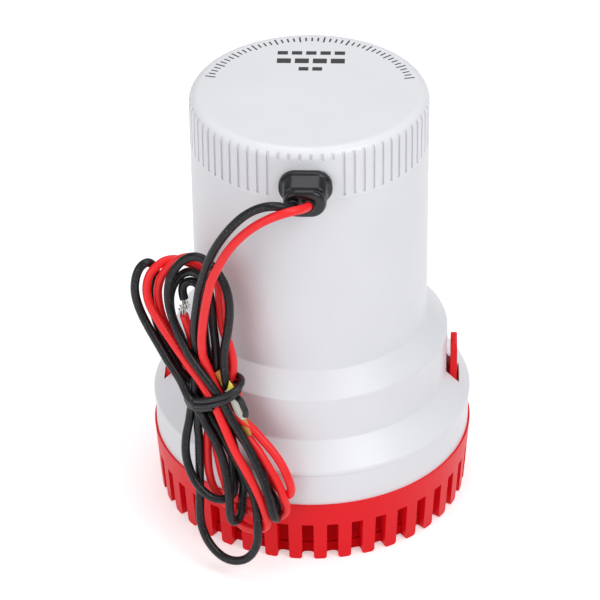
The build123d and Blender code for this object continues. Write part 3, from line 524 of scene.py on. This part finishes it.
def tieTurns():
    points, steps, turns = [], tie["stepsPerTurn"], tie["turns"]
    for number in range(len(turns) * steps - int(steps * tie["stopShort"])):
        index, part = divmod(number, steps)
        after = turns[min(index + 1, len(turns) - 1)]
        share = part / steps
        half = turns[index][0] * (1 - share) + after[0] * share
        place = turns[index][1] * (1 - share) + after[1] * share
        angle = 2 * math.pi * (share - tie["startShare"])
        across = -half * math.cos(angle)
        out = tie["deep"] * math.sin(angle)
        up = tie["middle"][1] + place + tie["rise"] * across - tie["climb"] * out
        points.append(hankPoint(tie["middle"][0] + across, up, out))
    return points


def makeTie():
    data = bpy.data.curves.new("tieWire", "CURVE")
    data.dimensions = "3D"
    layWire(data, tieTurns())
    layWire(data, [hankPoint(*place) for place in tie["stub"]])
    data.bevel_depth = tie["thickness"] / 2
    data.bevel_resolution = 4
    data.use_fill_caps = True
    piece = addPiece("tieWire", data, "tieWire")
    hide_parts("wire_tie")
    return piece


tieWire = makeTie()
print("tie made")


# the bare ends: thin tinned strands, a little splayed and uneven, out of the end of each sleeve
bareEnds = {
    "strands": 7, "thick": 0.00042, "ring": 0.00062, "reach": 0.0042, "turn": 1.4, "splay": 1.7,
    "steps": 5, "uneven": 0.12,
    "inSleeve": 0.3,         # diameters of the sleeve by which a strand starts inside it
}


def endOf(lead):
    # where the sleeve stops and the way it points there
    before, last = [hankPlace @ hankPoint(*place) for place in lead["tail"][-2:]]
    return last, (last - before).normalized()


def bareStrand(data, lead, strand):
    start, along = endOf(lead)
    aside = along.orthogonal().normalized()
    other = along.cross(aside)
    ring = 0 if strand == 0 else bareEnds["ring"]
    spline = data.splines.new("NURBS")
    spline.points.add(bareEnds["steps"] - 1)
    for step, knot in enumerate(spline.points):
        share = step / (bareEnds["steps"] - 1)
        angle = 2 * math.pi * strand / (bareEnds["strands"] - 1) + bareEnds["turn"] * share
        wide = ring * (1 + (bareEnds["splay"] - 1) * share)
        reach = bareEnds["reach"] * (1 - bareEnds["uneven"] * (strand % 3))
        length = reach * share - wire["diameter"] * bareEnds["inSleeve"]
        point = start + along * length + (aside * math.cos(angle) + other * math.sin(angle)) * wide
        knot.co = (*point, 1)
    spline.order_u = 3
    spline.use_endpoint_u = True


def makeBareEnds():
    data = bpy.data.curves.new("bareStrands", "CURVE")
    data.dimensions = "3D"
    for lead in (blackLead, redLead):
        for strand in range(bareEnds["strands"]):
            bareStrand(data, lead, strand)
    data.bevel_depth = bareEnds["thick"] / 2
    data.bevel_resolution = 2
    data.use_fill_caps = True
    piece = addPiece("bareStrands", data, "tinnedCopper")
    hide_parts("bare_ends")
    return piece


bareStrands = makeBareEnds()
print("bare ends made")


# the tag: a thin strip tucked under the tie, left plain but for its fields of colour
tag = {
    "line": [(1.0, 11.6, 1.6), (3.5, 8.6, 2.0), (6.0, 5.4, 2.4), (7.8, 2.0, 2.4), (8.9, -0.8, 2.0),
             (10.4, -3.8, 1.6), (12.1, -6.8, 1.2), (13.3, -9.0, 0.8)],
    "half": [1.2, 1.8, 2.2, 2.1, 1.8, 1.7, 1.5, 0.9],
    "curl": 0.0004,
    "thickness": 0.0002,
    "rowsPerSpan": 4,
    "columns": 6,
    "finishes": ["tagPaper", "tagAmber", "tagYellow", "tagEdge"],
    "edgeFrom": 0.86,        # the dark line down the right edge, as a share of the width
    "amberTo": 0.12, "amberFrom": 0.70,
    "yellowTo": 0.34, "yellowWide": 0.85, "yellowFrom": 0.14, "yellowSlope": 3,
}


def tagFinish(along, across):
    # amber at both ends, and a yellow corner in the pale middle
    if across > tag["edgeFrom"]:
        return "tagEdge"
    if along < tag["amberTo"] or along > tag["amberFrom"]:
        return "tagAmber"
    yellowEdge = tag["yellowWide"] - (along - tag["yellowFrom"]) * tag["yellowSlope"]
    if along < tag["yellowTo"] and across < yellowEdge:
        return "tagYellow"
    return "tagPaper"


def makeTag():
    line = [hankPoint(*place) for place in tag["line"]]
    rows = (len(line) - 1) * tag["rowsPerSpan"]
    vertices, faces, finishOf = [], [], []
    for row in range(rows + 1):
        index = min(row // tag["rowsPerSpan"], len(line) - 2)
        share = row / tag["rowsPerSpan"] - index
        here = line[index].lerp(line[index + 1], share)
        half = tag["half"][index] * (1 - share) + tag["half"][index + 1] * share
        heading = (line[index + 1] - line[index]).normalized()
        aside = heading.cross(Vector((0, 0, -1))).normalized() * half * -0.001
        for column in range(tag["columns"] + 1):
            side = column / tag["columns"] * 2 - 1
            curl = Vector((0, 0, -tag["curl"] * side * side))
            vertices.append(hankPlace @ (here + aside * side + curl))
    width = tag["columns"] + 1
    for row in range(rows):
        for column in range(tag["columns"]):
            start = row * width + column
            faces.append((start, start + 1, start + width + 1, start + width))
            finish = tagFinish(row / rows, (column + 0.5) / tag["columns"])
            finishOf.append(tag["finishes"].index(finish))
    mesh = bpy.data.meshes.new("paperTag")
    mesh.from_pydata(vertices, [], faces)
    piece = addPiece("paperTag", mesh, tag["finishes"][0])
    for finish in tag["finishes"][1:]:
        mesh.materials.append(materials[finish])
    for face, finish in zip(mesh.polygons, finishOf):
        face.material_index = finish
        face.use_smooth = True
    thick = piece.modifiers.new("thick", "SOLIDIFY")
    thick.thickness = tag["thickness"]
    thick.offset = 0
    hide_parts("wire_tag")
    return piece


paperTag = makeTag()
print("tag made")


# the gland: a thin oblong flange, a flat topped body, a groove and a rounded collar in front
# each section is how far it stands forward of the cap, its width, height and corner, in millimetres
gland = {
    "sections": [
        (0, 17.0, 11.4, 5.2), (1.3, 17.2, 11.6, 5.4), (1.8, 16.8, 11.2, 5.2), (2.1, 15.4, 10.4, 4.4),
        (2.6, 14.2, 9.6, 3.3), (8.4, 13.6, 9.4, 3.1), (8.8, 13.0, 8.8, 2.9), (9.0, 11.6, 7.6, 2.4),
        (9.5, 11.6, 7.6, 2.4), (9.7, 13.0, 9.0, 4.4), (9.9, 13.5, 9.5, 4.7), (10.9, 13.5, 9.5, 4.7),
        (11.6, 12.7, 8.7, 4.3), (11.9, 11.4, 7.4, 3.6), (11.6, 7.6, 4.6, 2.2),
    ],
    "cornerSteps": 8,
    "sharpAngle": 40,
    # the rim round each lead's hole; place is how far along the lead's first span it lies
    "lip": {"middle": 1.7, "thick": 0.35, "place": 0.35, "steps": 20, "ring": 8},
}


def ovalRing(width, tall, corner):
    # a rectangle with round corners, drawn once round
    points = []
    for quarter, (side, level) in enumerate(((1, 1), (-1, 1), (-1, -1), (1, -1))):
        for step in range(gland["cornerSteps"] + 1):
            angle = math.pi / 2 * (quarter + step / gland["cornerSteps"])
            points.append((side * (width / 2 - corner) + corner * math.cos(angle),
                           level * (tall / 2 - corner) + corner * math.sin(angle)))
    return points


def addLip(vertices, faces, place, along):
    # a small raised ring where a lead comes out
    lip = gland["lip"]
    aside = along.orthogonal().normalized()
    other = along.cross(aside)
    first = len(vertices)
    for step in range(lip["steps"]):
        angle = 2 * math.pi * step / lip["steps"]
        outward = aside * math.cos(angle) + other * math.sin(angle)
        for part in range(lip["ring"]):
            turn = 2 * math.pi * part / lip["ring"]
            reach = lip["middle"] + lip["thick"] * math.cos(turn)
            vertices.append(place + (outward * reach + along * lip["thick"] * math.sin(turn)) * 0.001)
            here = first + step * lip["ring"]
            after = first + (step + 1) % lip["steps"] * lip["ring"]
            nextPart = (part + 1) % lip["ring"]
            faces.append((here + part, after + part, after + nextPart, here + nextPart))


def makeGland():
    low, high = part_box("cable_gland")
    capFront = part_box("top_cap")[0][1]
    middle = (low[2] + high[2]) / 2
    vertices, faces = [], []
    for forward, width, tall, corner in gland["sections"]:
        for across, up in ovalRing(width, tall, corner):
            vertices.append(Vector((across * 0.001, capFront - forward * 0.001, middle + up * 0.001)))
    count = 4 * (gland["cornerSteps"] + 1)
    for section in range(len(gland["sections"]) - 1):
        for step in range(count):
            here, after = section * count + step, section * count + (step + 1) % count
            faces.append((here, after, after + count, here + count))
    faces.append(tuple(range(count - 1, -1, -1)))
    last = (len(gland["sections"]) - 1) * count
    faces.append(tuple(range(last, last + count)))
    for lead in (blackLead, redLead):
        start, onward = [Vector(point) for point in lead["free"][:2]]
        addLip(vertices, faces, start.lerp(onward, gland["lip"]["place"]), (onward - start).normalized())
    mesh = bpy.data.meshes.new("glandRubber")
    mesh.from_pydata(vertices, [], faces)
    mesh.polygons.foreach_set("use_smooth", [True] * len(mesh.polygons))
    mesh.set_sharp_from_angle(angle=math.radians(gland["sharpAngle"]))
    piece = addPiece("glandRubber", mesh, "glandRubber")
    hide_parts("cable_gland")
    return piece


glandRubber = makeGland()
print("gland made")


# webs: a thin plate low in each slot of the strainer, which leaves a shallow arch between two feet,
# finished in a darker copy of the red plastic as painted shade for the inside of the slots
webs = {
    "count": 40, "face": 0.0507, "thick": 0.0012, "half": 0.0021,
    "low": 0.0009, "rise": 0.0009, "top": 0.0054, "steps": 10,
}


def webRing(share, away, aside):
    # the four corners of a web's section, at this share of its half width
    low = webs["low"] + webs["rise"] * (1 - share ** 4)
    inner = webs["face"] - webs["thick"]
    corners = ((webs["face"], low), (webs["face"], webs["top"]), (inner, webs["top"]), (inner, low))
    along = aside * share * webs["half"]
    return [away * reach + along + Vector((0, 0, level)) for reach, level in corners]


def makeWebs():
    vertices, faces = [], []
    for number in range(webs["count"]):
        angle = 2 * math.pi * number / webs["count"]
        away = Vector((math.cos(angle), math.sin(angle), 0))
        aside = Vector((-math.sin(angle), math.cos(angle), 0))
        first = len(vertices)
        for step in range(webs["steps"] + 1):
            vertices += webRing(step / webs["steps"] * 2 - 1, away, aside)
        last = first + 4 * webs["steps"]
        for here in range(first, last, 4):
            for corner in range(4):
                after = (corner + 1) % 4
                faces.append((here + corner, here + 4 + corner, here + 4 + after, here + after))
        faces.append((first, first + 1, first + 2, first + 3))
        faces.append((last + 3, last + 2, last + 1, last))
    mesh = bpy.data.meshes.new("strainerWebs")
    mesh.from_pydata(vertices, [], faces)
    # the webs take the darker red, painted shade
    return addPiece("strainerWebs", mesh, "redPaintedShade", "strainer_base")


makeWebs()
print("webs made")


# print on the cap: a plain arc of ticks and plain bars, millimetres from the middle of the cap
capPrint = {
    "tickArc": (14, 166), "ticks": 44, "tickRadius": 33.4, "tickLength": 2.3, "tickWidth": 0.55,
    "longEvery": 4, "longExtra": 1.1,
    "bars": [                # how far up the cap, how tall, how wide and how many
        (24.2, 2.3, 3.4, 5), (18.9, 3.1, 4.6, 4), (13.6, 2.3, 3.2, 2),
    ],
    "barGap": 1.3,
    "height": 0.00004,       # metres above the cap
    "sunk": 0.0002,          # metres below its face
}


def printBlock(vertices, faces, middle, turn, long, wide):
    # one flat printed mark, its long way at the angle turn
    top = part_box("top_cap")[1][2]
    along = Vector((math.cos(turn), math.sin(turn), 0)) * long / 2 * 0.001
    aside = Vector((-math.sin(turn), math.cos(turn), 0)) * wide / 2 * 0.001
    first = len(vertices)
    centre = Vector((middle[0] * 0.001, middle[1] * 0.001, 0))
    for level in (top - capPrint["sunk"], top + capPrint["height"]):
        for end, side in ((-1, -1), (1, -1), (1, 1), (-1, 1)):
            vertices.append(centre + along * end + aside * side + Vector((0, 0, level)))
    for face in ((3, 2, 1, 0), (4, 5, 6, 7), (0, 1, 5, 4), (1, 2, 6, 5), (2, 3, 7, 6), (3, 0, 4, 7)):
        faces.append(tuple(first + corner for corner in face))


def makeCapPrint():
    vertices, faces = [], []
    start, end = [math.radians(angle) for angle in capPrint["tickArc"]]
    for number in range(capPrint["ticks"] + 1):
        angle = start + (end - start) * number / capPrint["ticks"]
        long = capPrint["tickLength"] + capPrint["longExtra"] * (number % capPrint["longEvery"] == 0)
        place = Vector((math.cos(angle), math.sin(angle))) * capPrint["tickRadius"]
        printBlock(vertices, faces, place, angle, long, capPrint["tickWidth"])
    for up, tall, wide, count in capPrint["bars"]:
        pitch = wide + capPrint["barGap"]
        for number in range(count):
            across = (number - (count - 1) / 2) * pitch
            printBlock(vertices, faces, (across, up), 0, wide, tall)
    mesh = bpy.data.meshes.new("capPrint")
    mesh.from_pydata(vertices, [], faces)
    return addPiece("capPrint", mesh, "capPrint")


makeCapPrint()
print("cap print made")


# floor, backdrop and lamps
studio = {
    "floorColour": (0.86, 0.86, 0.87),
    "floorHalf": 6,
    "floorRough": 0.9,
    "floorGlow": 0.45,       # for the camera, reflections and clear pieces only
    "worldLevel": 0.42,
    "lampColour": (0.97, 0.985, 1.0),
    "lamps": [               # name, place, aimed at, size and power
        ("keyRight", (0.75, -0.75, 1.05), (0, 0, 0.07), 0.8, 7.4),
        ("fillLeft", (-0.80, -0.95, 0.55), (0, 0, 0.07), 1.0, 4.2),
        ("topSoft", (0.0, 0.15, 1.35), (0, 0, 0.08), 1.0, 5.0),
    ],
}


def makeFloor():
    half = studio["floorHalf"]
    corners = [(-half, -half, 0), (half, -half, 0), (half, half, 0), (-half, half, 0)]
    mesh = bpy.data.meshes.new("floor")
    mesh.from_pydata(corners, [], [(0, 1, 2, 3)])
    floor = bpy.data.objects.new("floor", mesh)
    bpy.context.scene.collection.objects.link(floor)
    material = bpy.data.materials.new("paleFloor")
    material.use_nodes = True
    tree = material.node_tree
    shader = tree.nodes["Principled BSDF"]
    shader.inputs["Base Color"].default_value = (*studio["floorColour"], 1)
    shader.inputs["Roughness"].default_value = studio["floorRough"]
    rays = tree.nodes.new("ShaderNodeLightPath")
    seen = tree.nodes.new("ShaderNodeMath")
    seen.operation = "ADD"
    seenThrough = tree.nodes.new("ShaderNodeMath")
    seenThrough.operation = "ADD"
    glow = tree.nodes.new("ShaderNodeMath")
    glow.operation = "MULTIPLY"
    glow.inputs[1].default_value = studio["floorGlow"]
    joinNodes(tree, rays.outputs["Is Camera Ray"], seen.inputs[0])
    joinNodes(tree, rays.outputs["Is Glossy Ray"], seen.inputs[1])
    joinNodes(tree, seen.outputs["Value"], seenThrough.inputs[0])
    joinNodes(tree, rays.outputs["Is Transmission Ray"], seenThrough.inputs[1])
    joinNodes(tree, seenThrough.outputs["Value"], glow.inputs[0])
    shader.inputs["Emission Color"].default_value = (1, 1, 1, 1)
    joinNodes(tree, glow.outputs["Value"], shader.inputs["Emission Strength"])
    mesh.materials.append(material)


def makeWorld():
    world = bpy.data.worlds.new("studio")
    bpy.context.scene.world = world
    world.use_nodes = True
    tree = world.node_tree
    background = tree.nodes["Background"]
    background.inputs["Color"].default_value = (1, 1, 1, 1)
    rays = tree.nodes.new("ShaderNodeLightPath")
    seen = tree.nodes.new("ShaderNodeMath")
    seen.operation = "MAXIMUM"
    level = tree.nodes.new("ShaderNodeMapRange")
    level.inputs["To Min"].default_value = studio["worldLevel"]
    level.inputs["To Max"].default_value = 1
    joinNodes(tree, rays.outputs["Is Camera Ray"], seen.inputs[0])
    joinNodes(tree, rays.outputs["Is Transmission Ray"], seen.inputs[1])
    joinNodes(tree, seen.outputs["Value"], level.inputs["Value"])
    joinNodes(tree, level.outputs["Result"], background.inputs["Strength"])


def makeLamps():
    for name, place, target, size, power in studio["lamps"]:
        data = bpy.data.lights.new(name, "AREA")
        data.shape = "DISK"
        data.size = size
        data.energy = power
        data.color = studio["lampColour"]
        lamp = bpy.data.objects.new(name, data)
        aim = (Vector(target) - Vector(place)).to_track_quat("-Z", "Y")
        lamp.matrix_world = Matrix.Translation(place) @ aim.to_matrix().to_4x4()
        bpy.context.scene.collection.objects.link(lamp)


makeFloor()
makeWorld()
makeLamps()
bpy.context.scene.view_settings.view_transform = "Standard"
print("studio made")


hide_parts("lead_black", "lead_hank")
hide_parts("lead_red", "lead_hank")
